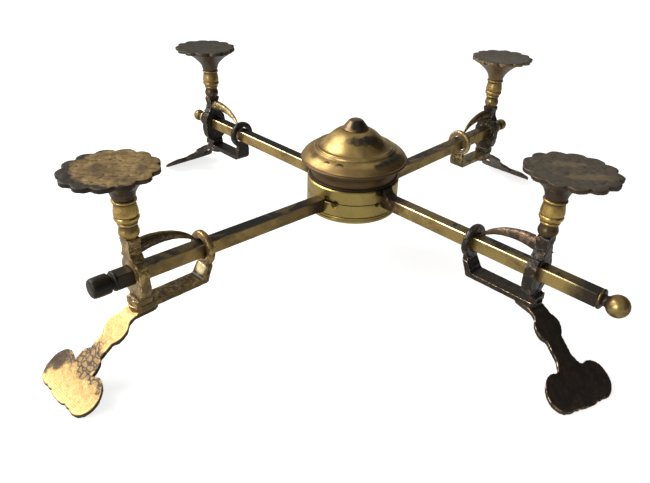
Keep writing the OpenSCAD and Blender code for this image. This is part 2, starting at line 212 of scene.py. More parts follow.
# %% [markdown]
# ## Shader effects that more than one finish needs
# Old brass is the same few events over and over: blotches of tarnish, single stains, pits, a crackle of
# cut marks. Each is a node group with its own sockets, built once. All of them read Object coordinates in
# metres, so a stain stays where it is put, whatever the piece is joined to.

# %% Helpers for node trees
def new_group(name, inputs, outputs):
    """A shader node group, with the sockets that it is given and those that it gives.

    inputs holds (name, kind, default) and outputs holds (name, kind)."""
    group = bpy.data.node_groups.new(name, "ShaderNodeTree")
    for label, kind, default in inputs:
        socket = group.interface.new_socket(label, in_out="INPUT", socket_type="NodeSocket" + kind)
        socket.default_value = default
    for label, kind in outputs:
        group.interface.new_socket(label, in_out="OUTPUT", socket_type="NodeSocket" + kind)
    return group, group.nodes.new("NodeGroupInput").outputs, group.nodes.new("NodeGroupOutput").inputs


def plug(tree, value, socket):
    """Links an output to a socket, or sets the socket's own value."""
    if isinstance(value, bpy.types.NodeSocket):
        tree.links.new(value, socket)
    elif value is not None:
        socket.default_value = value


def maths(tree, operation, a, b=None, c=None, clamp=False):
    """A Math node, and its output."""
    node = tree.nodes.new("ShaderNodeMath")
    node.operation = operation
    node.use_clamp = clamp
    for value, socket in zip((a, b, c), node.inputs):
        plug(tree, value, socket)
    return node.outputs[0]


def times(tree, a, b):
    """a times b."""
    return maths(tree, "MULTIPLY", a, b)


def flip(tree, mask):
    """1 where mask is 0, and 0 where it is 1."""
    return maths(tree, "SUBTRACT", 1.0, mask)


def vectors(tree, operation, a, b=None, c=None):
    """A Vector Math node's output, which is a number for LENGTH and DISTANCE."""
    node = tree.nodes.new("ShaderNodeVectorMath")
    node.operation = operation
    for value, socket in zip((a, b, c), node.inputs):
        plug(tree, value, socket)
    return node.outputs["Value" if operation in ("LENGTH", "DISTANCE") else "Vector"]


def ease(tree, value, low, high):
    """0 below low, 1 above high, and a smooth step between."""
    node = tree.nodes.new("ShaderNodeMapRange")
    node.interpolation_type = "SMOOTHSTEP"
    plug(tree, value, node.inputs["Value"])
    plug(tree, low, node.inputs["From Min"])
    plug(tree, high, node.inputs["From Max"])
    return node.outputs["Result"]


def blend_colours(tree, mask, under, over):
    """under where mask is 0, over where it is 1."""
    node = tree.nodes.new("ShaderNodeMix")
    node.data_type = "RGBA"
    plug(tree, mask, node.inputs["Factor"])
    plug(tree, under, node.inputs["A"])
    plug(tree, over, node.inputs["B"])
    return node.outputs["Result"]


def blend_values(tree, mask, under, over):
    """The same for plain numbers."""
    node = tree.nodes.new("ShaderNodeMix")
    plug(tree, mask, node.inputs["Factor"])
    plug(tree, under, node.inputs["A"])
    plug(tree, over, node.inputs["B"])
    return node.outputs["Result"]


def place(tree):
    """Where the point is, in metres."""
    return tree.nodes.new("ShaderNodeTexCoord").outputs["Object"]


def upward(tree, vector):
    """A vector's Z."""
    parts = tree.nodes.new("ShaderNodeSeparateXYZ")
    plug(tree, vector, parts.inputs["Vector"])
    return parts.outputs["Z"]


def attribute(tree, name):
    """A mesh attribute's value."""
    node = tree.nodes.new("ShaderNodeAttribute")
    node.attribute_name = name
    return node.outputs["Fac"]


def noise(tree, where, scale, detail=5, rough=0.6, distortion=0.0):
    """Noise from 0 to 1. scale is cycles per metre."""
    node = tree.nodes.new("ShaderNodeTexNoise")
    plug(tree, where, node.inputs["Vector"])
    plug(tree, scale, node.inputs["Scale"])
    node.inputs["Detail"].default_value = detail
    node.inputs["Roughness"].default_value = rough
    node.inputs["Distortion"].default_value = distortion
    return node.outputs["Fac"]


def use(tree, group, **inputs):
    """Places a group in a tree, and gives its mask, or all its outputs. An input's name has _ for a space."""
    node = tree.nodes.new("ShaderNodeGroup")
    node.node_tree = group
    for label, value in inputs.items():
        plug(tree, value, node.inputs[label.replace("_", " ")])
    return node.outputs[0] if len(node.outputs) == 1 else node.outputs


# %% Blotches: cloudy patches of tarnish with ragged rims
BLOTCHES, given, gives = new_group(
    "blotches",
    [("Scale", "Float", 90.0), ("Cover", "Float", 0.5), ("Softness", "Float", 0.08),
     ("Shift", "Vector", (0, 0, 0))],
    [("Mask", "Float")])
shifted = vectors(BLOTCHES, "ADD", place(BLOTCHES), given["Shift"])
cloud = noise(BLOTCHES, shifted, given["Scale"], detail=8, rough=0.62, distortion=0.6)
level = maths(BLOTCHES, "MULTIPLY_ADD", given["Cover"], -0.5, 0.75)
low = maths(BLOTCHES, "SUBTRACT", level, given["Softness"])
high = maths(BLOTCHES, "ADD", level, given["Softness"])
plug(BLOTCHES, ease(BLOTCHES, cloud, low, high), gives["Mask"])

# %% Stain: one ragged spot, at a place and of a size
STAIN, given, gives = new_group(
    "stain",
    [("Centre", "Vector", (0, 0, 0)), ("Size", "Vector", (0.01, 0.01, 0.01)), ("Ragged", "Float", 0.5),
     ("Grain", "Float", 250.0)],
    [("Mask", "Float")])
away = vectors(STAIN, "SUBTRACT", place(STAIN), given["Centre"])
reach = vectors(STAIN, "LENGTH", vectors(STAIN, "DIVIDE", away, given["Size"]))
rag = maths(STAIN, "SUBTRACT", noise(STAIN, place(STAIN), given["Grain"], detail=6), 0.5)
edge = maths(STAIN, "MULTIPLY_ADD", rag, given["Ragged"], reach)
inside = flip(STAIN, ease(STAIN, edge, 0.6, 1.05))
plug(STAIN, inside, gives["Mask"])

# %% Pits: small round hollows, more in some places than in others
PITS, given, gives = new_group("pits", [("Scale", "Float", 900.0), ("Cover", "Float", 0.4)],
                               [("Mask", "Float")])
cells = PITS.nodes.new("ShaderNodeTexVoronoi")
plug(PITS, place(PITS), cells.inputs["Vector"])
plug(PITS, given["Scale"], cells.inputs["Scale"])
where = noise(PITS, place(PITS), 160.0, detail=4)
width = times(PITS, maths(PITS, "SUBTRACT", where, flip(PITS, given["Cover"])), 1.6)
hole = maths(PITS, "SUBTRACT", width, cells.outputs["Distance"])
plug(PITS, ease(PITS, hole, 0.0, 0.12), gives["Mask"])

# %% Crackle: a net of thin cut marks
CRACKLE, given, gives = new_group("crackle", [("Scale", "Float", 420.0), ("Width", "Float", 0.07)],
                                  [("Mask", "Float")])
wander = CRACKLE.nodes.new("ShaderNodeTexNoise")
wander.inputs["Scale"].default_value = 300
plug(CRACKLE, place(CRACKLE), wander.inputs["Vector"])
bent = vectors(CRACKLE, "MULTIPLY_ADD", wander.outputs["Color"], (0.003, 0.003, 0.003), place(CRACKLE))
net = CRACKLE.nodes.new("ShaderNodeTexVoronoi")
net.feature = "DISTANCE_TO_EDGE"
plug(CRACKLE, bent, net.inputs["Vector"])
plug(CRACKLE, given["Scale"], net.inputs["Scale"])
line = flip(CRACKLE, ease(CRACKLE, net.outputs["Distance"], 0.0, given["Width"]))
plug(CRACKLE, line, gives["Mask"])

# %% [markdown]
# The main group is the metal itself. Brass tarnishes from gold through brown to black; the hollows go first,
# and rubbing brings the edges back. `Wear` and `Hollow` come from attributes that are measured on the meshes
# further down, and are 0 on a piece that hasn't got them. Tarnish is an oxide film, so it is rougher than
# the metal and a good deal less metallic.

# %% Aged brass
AGED, given, gives = new_group(
    "aged_brass",
    [("Gold", "Color", (0.8, 0.6, 0.26, 1)), ("Brown", "Color", (0.24, 0.15, 0.055, 1)),
     ("Black", "Color", (0.02, 0.016, 0.012, 1)), ("Brown Cover", "Float", 0.4), ("Black Cover", "Float", 0.2),
     ("Scale", "Float", 90.0), ("Shift", "Vector", (0, 0, 0)), ("Wear", "Float", 0.0), ("Hollow", "Float", 0.0),
     ("Gold Rough", "Float", 0.25), ("Film Rough", "Float", 0.5)],
    [("Color", "Color"), ("Roughness", "Float"), ("Metallic", "Float"), ("Height", "Float")])
brown_spots = use(AGED, BLOTCHES, Scale=given["Scale"], Cover=given["Brown Cover"], Softness=0.16,
                  Shift=given["Shift"])
black_scale = times(AGED, given["Scale"], 1.7)
black_spots = use(AGED, BLOTCHES, Scale=black_scale, Cover=given["Black Cover"], Softness=0.06,
                  Shift=given["Shift"])
grain = noise(AGED, place(AGED), 2600.0, detail=6, rough=0.7)
rubbed = ease(AGED, maths(AGED, "ADD", given["Wear"], times(AGED, grain, 0.5)), 0.45, 0.95)
sunk = ease(AGED, maths(AGED, "ADD", given["Hollow"], times(AGED, grain, 0.4)), 0.4, 0.9)
kept = flip(AGED, rubbed)
brown_mask = times(AGED, maths(AGED, "MAXIMUM", brown_spots, sunk), kept)
black_mask = times(AGED, maths(AGED, "MAXIMUM", black_spots,
                               times(AGED, sunk, 0.85)), kept)
fine = blend_colours(AGED, ease(AGED, grain, 0.42, 0.75), given["Gold"], given["Brown"])
gold = blend_colours(AGED, 0.28, given["Gold"], fine)
tinted = blend_colours(AGED, brown_mask, gold, given["Brown"])
plug(AGED, blend_colours(AGED, black_mask, tinted, given["Black"]), gives["Color"])
film = maths(AGED, "MAXIMUM", times(AGED, brown_mask, 0.6), black_mask)
rough = blend_values(AGED, film, given["Gold Rough"], given["Film Rough"])
plug(AGED, maths(AGED, "MULTIPLY_ADD", maths(AGED, "SUBTRACT", grain, 0.5), 0.22, rough), gives["Roughness"])
plug(AGED, maths(AGED, "MULTIPLY_ADD", film, -0.6, 1.0), gives["Metallic"])
dents = noise(AGED, place(AGED), 420.0, detail=3)
height = maths(AGED, "MULTIPLY_ADD", grain, 0.1, times(AGED, dents, 0.8))
plug(AGED, maths(AGED, "MULTIPLY_ADD", film, 0.3, height), gives["Height"])
print("node groups", [g.name for g in bpy.data.node_groups])

# %% [markdown]
# ## Finishes
# One function makes a brass finish from that group. It returns the material and a small notebook of its
# sockets, so that a later cell can lay stains over the colour before it reaches the shader.

# %% A brass finish
GOLD = (0.74, 0.50, 0.16, 1)
BROWN = (0.22, 0.135, 0.05, 1)
BLACK = (0.018, 0.014, 0.010, 1)
OLIVE_BROWN = (0.17, 0.115, 0.045, 1)


def brass(name, gold=GOLD, brown=BROWN, black=BLACK, brown_cover=0.4, black_cover=0.2, scale=90.0, shift=0.0,
          rough=0.25, film_rough=0.5, bump=0.35, wear=1.0, hollow=1.0):
    """A brass material: shift moves its pattern, wear and hollow say how far the two attributes count."""
    material = bpy.data.materials.new(name)
    material.use_nodes = True
    tree = material.node_tree
    shader = tree.nodes["Principled BSDF"]
    metal = use(tree, AGED, Gold=gold, Brown=brown, Black=black, Brown_Cover=brown_cover,
                Black_Cover=black_cover, Scale=scale, Shift=(shift, shift * 0.7, -shift), Gold_Rough=rough,
                Film_Rough=film_rough, Wear=times(tree, attribute(tree, "wear"), wear),
                Hollow=times(tree, attribute(tree, "hollow"), hollow))
    bumps = tree.nodes.new("ShaderNodeBump")
    bumps.inputs["Strength"].default_value = bump
    bumps.inputs["Distance"].default_value = 0.12 * MM
    look = {"material": material, "tree": tree, "shader": shader, "bumps": bumps,
            "colour": metal["Color"], "rough": metal["Roughness"],
            "metallic": metal["Metallic"], "height": metal["Height"]}
    return settle(look)


def settle(look):
    """Wires what the notebook holds into the shader."""
    tree, shader = look["tree"], look["shader"]
    plug(tree, look["colour"], shader.inputs["Base Color"])
    plug(tree, look["rough"], shader.inputs["Roughness"])
    plug(tree, look["metallic"], shader.inputs["Metallic"])
    plug(tree, look["height"], look["bumps"].inputs["Height"])
    plug(tree, look["bumps"].outputs["Normal"], shader.inputs["Normal"])
    return look


def cover(look, mask, colour, rough=None, metallic=None, depth=0.0):
    """Lays a colour over a finish where mask is 1, with its own roughness and a step in height."""
    tree = look["tree"]
    look["colour"] = blend_colours(tree, mask, look["colour"], colour)
    if rough is not None:
        look["rough"] = blend_values(tree, mask, look["rough"], rough)
    if metallic is not None:
        look["metallic"] = blend_values(tree, mask, look["metallic"], metallic)
    look["height"] = maths(tree, "MULTIPLY_ADD", mask, -depth, look["height"])
    return settle(look)


def stain(look, centre, size, colour, strength=1.0, ragged=0.6, grain=260.0, **more):
    """One ragged stain at a place, in metres."""
    size = (size,) * 3 if isinstance(size, float) else size
    mask = use(look["tree"], STAIN, Centre=centre, Size=size, Ragged=ragged, Grain=grain)
    return cover(look, times(look["tree"], mask, strength), colour, **more)


def round_hub(radius, degrees, height):
    """A polar point, with its radius in mm and its height in mm above the arms."""
    return polar(degrees, radius * MM, HUB.z + height * MM)


# %% Height above the arms
def height_mask(tree, low, high):
    """0 below low and 1 above high, both in mm above the arms."""
    return ease(tree, upward(tree, place(tree)), HUB.z + low * MM, HUB.z + high * MM)


def band_mask(tree, low, high, soft):
    """1 between low and high."""
    return maths(tree, "SUBTRACT", height_mask(tree, low - soft, low + soft),
                 height_mask(tree, high - soft, high + soft), clamp=True)


# %% [markdown]
# ### The lid
# The lid is polished by the hand that lifts it, above all round its bell. It still has a smoky smudge across
# the front, two little dents, a browner shoulder and a few coppery freckles. Low on the right, where the lid
# turns away from the key light, dark patches of painted shade lie on the shoulder, the bell and the ridge, and
# each dent's upper lip is painted dark as its shade.

# %% Lid finish
lid_look = brass("lid_brass", gold=(0.64, 0.45, 0.165, 1), brown=(0.26, 0.165, 0.06, 1), brown_cover=0.42,
                 black_cover=0.0, scale=95.0, rough=0.33, bump=0.16, shift=0.3, wear=0.4, hollow=0.45)
SMOKE = (0.035, 0.032, 0.028, 1)
for bearing, size, strength in ((258, 0.0032, 0.5), (274, 0.0042, 0.75), (292, 0.0044, 0.7),
                                (312, 0.0052, 0.75)):
    stain(lid_look, round_hub(12.4, bearing, 30.6), (size, size, size * 0.6), SMOKE, strength=strength,
          ragged=1.4, grain=380.0, rough=0.42)
# Painted shade on the right side, away from the key light: a patch on the bell, a row on the shoulder, one on
# the ridge.
stain(lid_look, round_hub(14.5, 325, 28.5), (0.006, 0.007, 0.004), (0.06, 0.045, 0.02, 1), strength=0.7,
      ragged=1.2, grain=200.0, rough=0.42)
for bearing, size in ((299, 0.0034), (307, 0.0046), (317, 0.0052), (328, 0.0056), (338, 0.005)):
    stain(lid_look, round_hub(25.6, bearing, 21.2), (size, size, size * 0.55), (0.022, 0.02, 0.016, 1),
          strength=0.9, ragged=0.8, grain=300.0, rough=0.42, metallic=0.6)
stain(lid_look, round_hub(22, 333, 23.4), (0.004, 0.007, 0.002), (0.05, 0.04, 0.02, 1), strength=0.8,
      ragged=1.1, rough=0.42)
stain(lid_look, round_hub(24.5, 208, 21.9), 0.0024, (0.09, 0.09, 0.06, 1), strength=0.85, ragged=0.8, rough=0.5)
stain(lid_look, round_hub(22, 200, 23), (0.005, 0.008, 0.004), (0.20, 0.12, 0.05, 1), strength=0.7, ragged=1.3,
      rough=0.45)

tree = lid_look["tree"]
ovolo = maths(tree, "SUBTRACT", height_mask(tree, 17.5, 18.5),
              height_mask(tree, 20.6, 21.8), clamp=True)
grimy = use(tree, BLOTCHES, Scale=150.0, Cover=0.95, Softness=0.16)
cover(lid_look, times(tree, times(tree, ovolo, grimy), 0.6),
      (0.22, 0.14, 0.055, 1), rough=0.42)

# %% Two dents in the lid: each has an upper lip painted dark as its shade, and a lighter brown floor
for bearing, width in ((234, 0.0019), (251, 0.0026)):
    lip = use(tree, STAIN, Centre=round_hub(25.2, bearing, 21.6), Size=(width, width, 0.0012),
              Ragged=0.5, Grain=700.0)
    bowl = use(tree, STAIN, Centre=round_hub(26.1, bearing, 21.0), Size=(width, width, 0.0010),
               Ragged=0.3, Grain=500.0)
    outside = flip(tree, bowl)
    # Painted shade: the dent's upper lip is darkened where its wall would be in shade.
    cover(lid_look, times(tree, lip, outside), (0.05, 0.035, 0.02, 1), rough=0.4, depth=1.5)
    cover(lid_look, times(tree, bowl, 0.35), (0.35, 0.24, 0.12, 1), rough=0.42, depth=2.5)
freckles = use(tree, PITS, Scale=760.0, Cover=0.5)
cover(lid_look, times(tree, freckles, 0.65), (0.30, 0.16, 0.09, 1), rough=0.42)
in_rim = flip(tree, height_mask(tree, 17.7, 18.3))
worn_rim = use(tree, BLOTCHES, Scale=240.0, Cover=0.95, Softness=0.1)
cover(lid_look, times(tree, in_rim, worn_rim), (0.16, 0.10, 0.05, 1), rough=0.45)

# %% [markdown]
# ### The hub
# The two collars and the lamp's flange are satin olive-gold, evenly worn by turning. Beside the roots of the
# near bars the collars carry dark spots of painted shade, for the gaps and shadows there. The cove between
# collar and lid is out of reach of a cloth, so it stays brown, and its lowest band is painted dark as the
# shadow under the lid's rim.

# %% Hub finishes
collar_look = brass("collar_brass", gold=(0.50, 0.385, 0.125, 1), brown=(0.26, 0.19, 0.07, 1), brown_cover=0.3,
                    black_cover=0.0, scale=60.0, rough=0.3, bump=0.1, wear=0.0, hollow=0.0)
tree = collar_look["tree"]
cover(collar_look, band_mask(tree, -0.52, -0.1, 0.08), (0.03, 0.02, 0.01, 1), rough=0.5, depth=1.0)
cover(collar_look, band_mask(tree, -8.15, -7.75, 0.08), (0.03, 0.02, 0.01, 1), rough=0.5, depth=1.0)
# Painted shade: dark spots in the gaps beside the near bars' roots and in the shadow above the near right bar.
for centre, size in (((25.5, 247, -0.6), 0.0026), ((25.5, 236, 1.6), 0.0022), ((25.5, 300, -0.9), 0.0016),
                     ((25.5, 303, 6.8), 0.0034), ((25.5, 309, 5.4), 0.0030), ((25.4, 318, 6.6), 0.0034)):
    stain(collar_look, round_hub(*centre), size, (0.025, 0.02, 0.012, 1), strength=0.9, ragged=0.8, grain=450.0,
          rough=0.45)
cove_look = brass("cove_brass", gold=(0.27, 0.17, 0.07, 1), brown=(0.13, 0.08, 0.035, 1), brown_cover=0.8,
                  black_cover=0.1, scale=70.0, rough=0.4, bump=0.2)
tree = cove_look["tree"]
# Painted shadow: below about 8 to 10 mm above the arms the cove is darkened as the shade under the lid's rim.
shade = flip(tree, height_mask(tree, 7.6, 10.2))
cover(cove_look, times(tree, shade, 0.9), (0.02, 0.013, 0.008, 1), rough=0.5, metallic=0.6)
knob_look = brass("knob_brass", gold=(0.50, 0.36, 0.14, 1), brown=(0.16, 0.10, 0.05, 1), brown_cover=0.8,
                  black_cover=0.1, scale=150.0, rough=0.3, film_rough=0.34, wear=0.3)
for bearing, high, size in ((262, 36.5, 0.0026), (285, 35.5, 0.0042), (290, 38, 0.0034), (250, 38.6, 0.0018)):
    stain(knob_look, round_hub(4.6, bearing, high), size, (0.03, 0.028, 0.026, 1), strength=0.88, ragged=0.8,
          grain=420.0, rough=0.36)
inner_look = brass("inner_brass", brown_cover=0.35, black_cover=0.1, rough=0.35)

# %% [markdown]
# ### The bars
# A bar is gold on its sides, where the brackets rub, and brown and black along its top, where soot and grease
# settle. Its upper chamfer gets a painted highlight in broken patches, where the key light catches it and the
# metal is rubbed, and the top of its root by the collar is painted dark as shade. A bar's finish is built from
# two facts about a point: which way it faces, and how far it is from the hub.

# %% Facing and distance
def facing_up(tree):
    """How far the surface looks up, from -1 to 1."""
    return upward(tree, tree.nodes.new("ShaderNodeTexCoord").outputs["Normal"])


def hub_distance(tree):
    """Metres from the hub's axis."""
    return vectors(tree, "LENGTH", vectors(tree, "MULTIPLY", place(tree), (1, 1, 0)))


def bar_brass(corner, gold, top_black, arris_highlight, root, end, shift, **more):
    """top_black: how much of the top is black. arris: how bright the painted highlight on the upper chamfer is,
    where the key light catches it and the metal is rubbed. root and end: how dark those stretches are."""
    look = brass(corner + "_bar_brass", gold=gold, brown=OLIVE_BROWN, shift=shift, bump=0.08, wear=0.0,
                 hollow=0.0, **more)
    tree = look["tree"]
    up = facing_up(tree)
    top = ease(tree, up, 0.8, 0.95)
    soot = use(tree, BLOTCHES, Scale=60.0, Cover=top_black, Softness=0.06, Shift=(shift, -shift, 0))
    cover(look, times(tree, top, 0.7), (0.15, 0.105, 0.05, 1), rough=0.4)
    cover(look, times(tree, top, soot), (0.016, 0.014, 0.012, 1), rough=0.42, metallic=0.5)
    # Painted highlight on the upper chamfer, where the key light catches it, broken into patches like rubbed
    # metal.
    corner = maths(tree, "SUBTRACT", ease(tree, up, 0.15, 0.4), top, clamp=True)
    highlight_patches = ease(tree, noise(tree, place(tree), 130.0, detail=6), 0.36, 0.5)
    cover(look, times(tree, times(tree, corner, highlight_patches), arris_highlight), (0.95, 0.76, 0.42, 1), rough=0.3)
    far = hub_distance(tree)
    ragged = maths(tree, "MULTIPLY_ADD", noise(tree, place(tree), 240.0), 0.012, far)
    near_hub = flip(tree, ease(tree, ragged, 0.038, 0.047))
    scuffs = use(tree, BLOTCHES, Scale=330.0, Cover=root, Softness=0.1, Shift=(0, shift, 0))
    cover(look, times(tree, near_hub, scuffs), (0.07, 0.045, 0.03, 1), rough=0.45, depth=0.8)
    # Painted shade: the bar's top within about 32 mm of the axis, next to the collar, is darkened as shade.
    above = height_mask(tree, 3.5, 3.9)
    root_top_shade = times(tree, above, flip(tree, ease(tree, far, 0.031, 0.033)))
    cover(look, times(tree, root_top_shade, 0.9), (0.04, 0.03, 0.018, 1), rough=0.45, metallic=0.5)
    tip = ease(tree, ragged, 0.133, 0.146)
    burnt = use(tree, BLOTCHES, Scale=150.0, Cover=end, Softness=0.1, Shift=(shift, 0, shift))
    return cover(look, times(tree, tip, burnt), (0.045, 0.033, 0.024, 1), rough=0.4, metallic=0.7)


# %% Bar finishes
bar_looks = {
    "near_left": bar_brass("near_left", (0.36, 0.25, 0.09, 1), 0.62, 0.45, 1.25, 2.2, 0.11,
                           brown_cover=0.4, black_cover=0.12, rough=0.28),
    "near_right": bar_brass("near_right", (0.56, 0.41, 0.15, 1), 0.42, 1.0, 0.7, 0.9, 0.47,
                            brown_cover=0.38, black_cover=0.05, rough=0.26),
    "far_right": bar_brass("far_right", (0.40, 0.28, 0.095, 1), 0.5, 0.5, 0.8, 0.9, 0.83,
                           brown_cover=0.4, black_cover=0.08, rough=0.28),
    "far_left": bar_brass("far_left", (0.54, 0.37, 0.135, 1), 0.85, 0.7, 0.8, 0.9, 0.29,
                          brown_cover=0.45, black_cover=0.06, rough=0.28),
}

# %% [markdown]
# ### Castings
# Stirrups, spurs, straps and rings are rough castings that were never polished all over: dark, slightly
# pitted, with gold or coppery light on every corner that a hand or a bar has touched. The near left
# bracket is the cleanest of the four, and the far left and near right ones are the dirtiest.

# %% Casting finishes
def casting(name, gold, brown, brown_cover, black_cover, shift, copper=0.0, pits=0.36, glints=0.5, **more):
    """A cast piece: brown film, a few rubbed glints, dark pits."""
    settings = {"rough": 0.3, "film_rough": 0.4, "bump": 0.9, "scale": 190.0, "wear": 0.7, "hollow": 0.8}
    settings.update(more)
    look = brass(name, gold=gold, brown=brown, black=(0.022, 0.017, 0.014, 1), brown_cover=brown_cover,
                 black_cover=black_cover, shift=shift, **settings)
    look["bumps"].inputs["Distance"].default_value = 0.35 * MM
    tree = look["tree"]
    if copper:
        flush = use(tree, BLOTCHES, Scale=300.0, Cover=copper, Softness=0.14, Shift=(shift, shift, 0))
        cover(look, times(tree, flush, 0.55), (0.36, 0.22, 0.13, 1), rough=0.34)
    patches = ease(tree, noise(tree, place(tree), 330.0, detail=6), 0.46, 0.58)
    glint = times(tree, ease(tree, attribute(tree, "wear"), 0.25, 0.7), patches)
    cover(look, times(tree, glint, glints), (0.82, 0.62, 0.36, 1), rough=0.25, metallic=1.0)
    holes = use(tree, PITS, Scale=900.0, Cover=pits)
    return cover(look, times(tree, holes, 0.6), (0.04, 0.03, 0.02, 1), rough=0.5, depth=0.8)


DRY_BROWN = (0.16, 0.105, 0.045, 1)
casting_looks = {
    "near_left": casting("near_left_casting", (0.64, 0.45, 0.16, 1), (0.21, 0.14, 0.055, 1), 0.62, 0.25, 0.05,
                         glints=0.9, rough=0.24, film_rough=0.34),
    "near_right": casting("near_right_casting", (0.28, 0.19, 0.11, 1), (0.055, 0.039, 0.028, 1), 0.85, 0.7,
                          0.37, copper=0.2, glints=1.0, rough=0.22, film_rough=0.28),
    "far_right": casting("far_right_casting", (0.50, 0.37, 0.15, 1), (0.085, 0.06, 0.03, 1), 0.8, 0.55, 0.61,
                         glints=0.9, rough=0.24, film_rough=0.32),
    "far_left": casting("far_left_casting", (0.34, 0.26, 0.12, 1), (0.05, 0.04, 0.026, 1), 1.0, 0.75, 0.77,
                        glints=0.7, film_rough=0.34),
}
spur_looks = {
    "near_left": casting("near_left_spur", (0.44, 0.31, 0.12, 1), DRY_BROWN, 0.7, 0.2, 0.15, bump=0.4,
                         glints=0.4),
    "near_right": casting("near_right_spur", (0.44, 0.30, 0.17, 1), (0.13, 0.085, 0.055, 1), 0.75, 0.3, 0.55,
                          copper=0.4, bump=0.5, glints=0.7, rough=0.24, film_rough=0.3),
    "far_right": casting("far_right_spur", (0.50, 0.37, 0.15, 1), DRY_BROWN, 0.7, 0.35, 0.65, bump=0.4),
    "far_left": casting("far_left_spur", (0.80, 0.62, 0.28, 1), DRY_BROWN, 0.4, 0.1, 0.72, bump=0.3,
                        glints=0.8),
}
strap_looks = {
    "near_left": casting("near_left_strap_brass", (0.54, 0.39, 0.14, 1), OLIVE_BROWN, 0.75, 0.2, 0.25,
                         bump=0.4, glints=1.0, wear=1.1, rough=0.26),
    "near_right": casting("near_right_strap_brass", (0.26, 0.185, 0.10, 1), (0.07, 0.05, 0.034, 1), 1.0, 0.5,
                          0.45, bump=0.5, glints=1.0, wear=1.0, film_rough=0.32),
    "far_right": casting("far_right_strap_brass", (0.62, 0.47, 0.20, 1), (0.14, 0.10, 0.045, 1), 0.6, 0.3, 0.31,
                         bump=0.4, glints=0.9),
    "far_left": casting_looks["far_left"],
}
ring_looks = dict(casting_looks)
ring_looks["far_right"] = casting("far_right_ring_brass", (0.74, 0.57, 0.27, 1), (0.26, 0.17, 0.075, 1), 0.5,
                                  0.15, 0.57, bump=0.4, glints=0.9)

# %% [markdown]
# The inner face of the near left strap's leg has been rubbed bright by the bracket's sliding.

# %% Bright patch
leg = POST_R["near_left"] / MM - 31.5  # the radius of the leg's inner face, in mm
stain(strap_looks["near_left"], round_hub(leg, AXIS["near_left"], -10.5),
      (0.0042, 0.0042, 0.0042), (0.98, 0.86, 0.5, 1), strength=0.95, ragged=0.5, grain=500.0, rough=0.4)

# %% Posts
post_settings = {"brown": (0.30, 0.18, 0.06, 1), "black": (0.06, 0.04, 0.018, 1), "rough": 0.26, "wear": 0.3,
                 "hollow": 0.75, "bump": 0.25}
post_looks = {
    "near_left": brass("near_left_post_brass", gold=(0.62, 0.44, 0.14, 1), brown_cover=0.45, black_cover=0.1,
                       scale=160.0, shift=0.12, **post_settings),
    "near_right": brass("near_right_post_brass", gold=(0.62, 0.42, 0.13, 1), brown_cover=0.45, black_cover=0.12,
                        scale=150.0, shift=0.42, **post_settings),
    "far_right": brass("far_right_post_brass", gold=(0.56, 0.42, 0.15, 1), brown_cover=0.55, black_cover=0.25,
                       scale=150.0, shift=0.63, **post_settings),
    "far_left": brass("far_left_post_brass", gold=(0.56, 0.42, 0.17, 1), brown_cover=0.55, black_cover=0.25,
                      scale=150.0, shift=0.79, **post_settings),
}
for corner, strength in (("near_right", 0.9), ("near_left", 0.25), ("far_left", 0.9), ("far_right", 0.35)):
    tree = post_looks[corner]["tree"]
    lower = flip(tree, height_mask(tree, 24.1, 25.0))
    cover(post_looks[corner], times(tree, lower, strength), (0.075, 0.052, 0.034, 1), rough=0.3)

# %% [markdown]
# ### Rests
# The dish rests are the oldest-looking pieces. The near left one has a dry golden brown top with long
# brush-like streaks and a black rim; the other three are grey-brown with only a trace of gold.

# %% Rest finishes
REST_OUT = 4 * MM  # from a post's axis to the middle of its rest
REST_TOP = CAD_BOX[1].z


def rest_brass(corner, gold, brown, brown_cover, black_cover, rim, shift, streaks=0.6, slip=(0, 0, 0),
               trumpet=(0.034, 0.025, 0.018, 1)):
    """rim: how black the scalloped edge is. slip: how far the clean middle moves, in mm. trumpet: the colour
    underneath."""
    look = brass(corner + "_rest_brass", gold=gold, brown=brown, black=(0.025, 0.02, 0.016, 1),
                 brown_cover=brown_cover, black_cover=black_cover, shift=shift, scale=75.0, rough=0.42,
                 film_rough=0.5, bump=0.4, wear=0.5)
    tree = look["tree"]
    centre = polar(AXIS[corner], POST_R[corner] + REST_OUT) + Vector(slip) * MM
    stretched = tree.nodes.new("ShaderNodeMapping")
    stretched.inputs["Rotation"].default_value = (0, 0, math.radians(12))
    stretched.inputs["Scale"].default_value = (0.22, 1.3, 1)
    plug(tree, place(tree), stretched.inputs["Vector"])
    brush = ease(tree, noise(tree, stretched.outputs["Vector"], 330.0, detail=7, rough=0.7), 0.47, 0.62)
    cover(look, times(tree, brush, streaks), brown, rough=0.5)
    edge = vectors(tree, "DISTANCE", vectors(tree, "MULTIPLY", place(tree), (1, 1, 0)), centre)
    ragged = maths(tree, "MULTIPLY_ADD", noise(tree, place(tree), 170.0, detail=6), 0.008, edge)
    cover(look, times(tree, ease(tree, ragged, 0.0205, 0.0225), rim), (0.022, 0.018, 0.014, 1), rough=0.5,
          metallic=0.4)
    under = flip(tree, ease(tree, facing_up(tree), 0.3, 0.6))
    uneven = maths(tree, "MULTIPLY_ADD", noise(tree, place(tree), 260.0, detail=5), 0.5, 0.62, clamp=True)
    return cover(look, times(tree, under, uneven), trumpet, rough=0.36, metallic=0.7)


